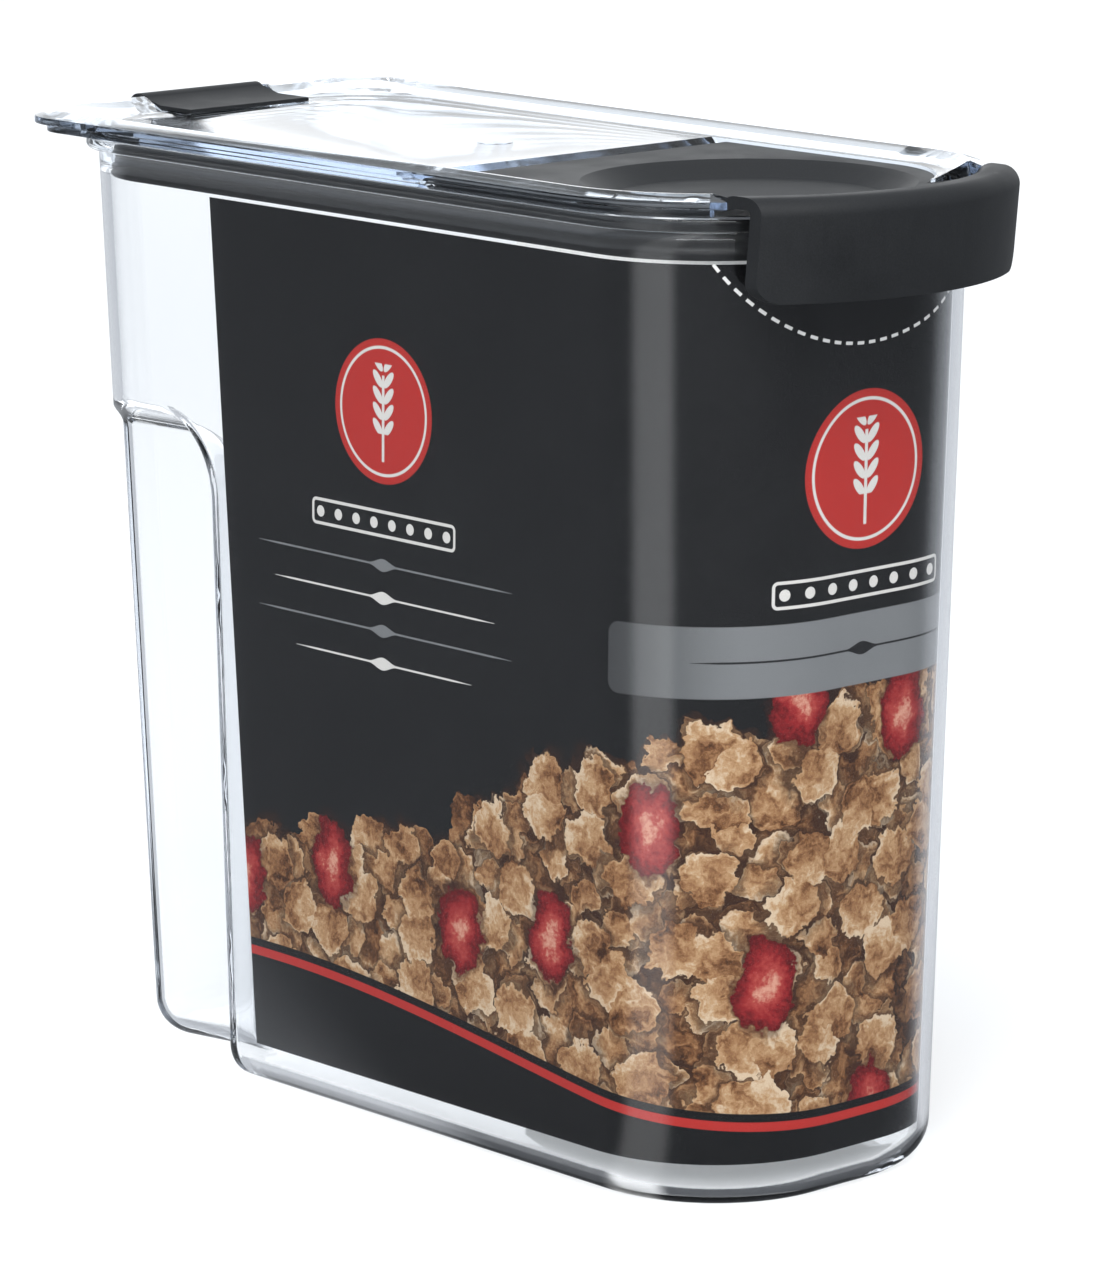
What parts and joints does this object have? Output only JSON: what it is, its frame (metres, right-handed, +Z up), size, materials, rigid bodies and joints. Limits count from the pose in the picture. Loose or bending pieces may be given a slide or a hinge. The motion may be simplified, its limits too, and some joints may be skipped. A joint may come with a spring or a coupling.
{
  "type": "food storage container",
  "caption": "Clear tapered food tub with hand grips, a lift-off sealed lid, a black flip-up pour door, a black rear latch and a printed card standing inside.",
  "frame": {"origin": "on the ground plane, under the middle of the closed container's bounding box", "axes": "+X towards the pour end, +Z up, +Y across the tub to its far side, so X and Z span the plane of symmetry"},
  "size_m": [0.2659, 0.116, 0.2369],
  "materials": {
    "clear_tub": "clear polished",
    "clear_lid": "clear polished",
    "printed_card": "printed card, dark with warm patches",
    "black_seal": "smooth soft",
    "black_plastic": "satin fine grain",
    "pin_plastic": "satin"
  },
  "bodies": {
    "tub": {"tub": "clear_tub", "label_card": "printed_card"},
    "lid": {"lid_frame": "clear_lid", "lid_gasket": "black_seal"},
    "door": {"pour_door": "black_plastic", "pour_seal": "black_seal", "door_pin_near": "pin_plastic", "door_pin_far": "pin_plastic"},
    "latch": {"rear_latch": "black_plastic"}
  },
  "joints": [
    {"name": "lid_lift", "type": "slide", "parent": "tub", "child": "lid", "axis": [0, 0, 1], "range_m": [0, 0.07]},
    {"name": "pour_door", "type": "hinge", "parent": "lid", "child": "door", "pos_m": [0.0185, 0, 0.2299], "axis": [0, -1, 0], "range_deg": [0, 105]},
    {"name": "rear_latch", "type": "hinge", "parent": "lid", "child": "latch", "pos_m": [-0.1284, 0, 0.2324], "axis": [0, 1, 0], "range_deg": [0, 4.4], "stiffness_Nm_per_rad": 0.3}
  ]
}
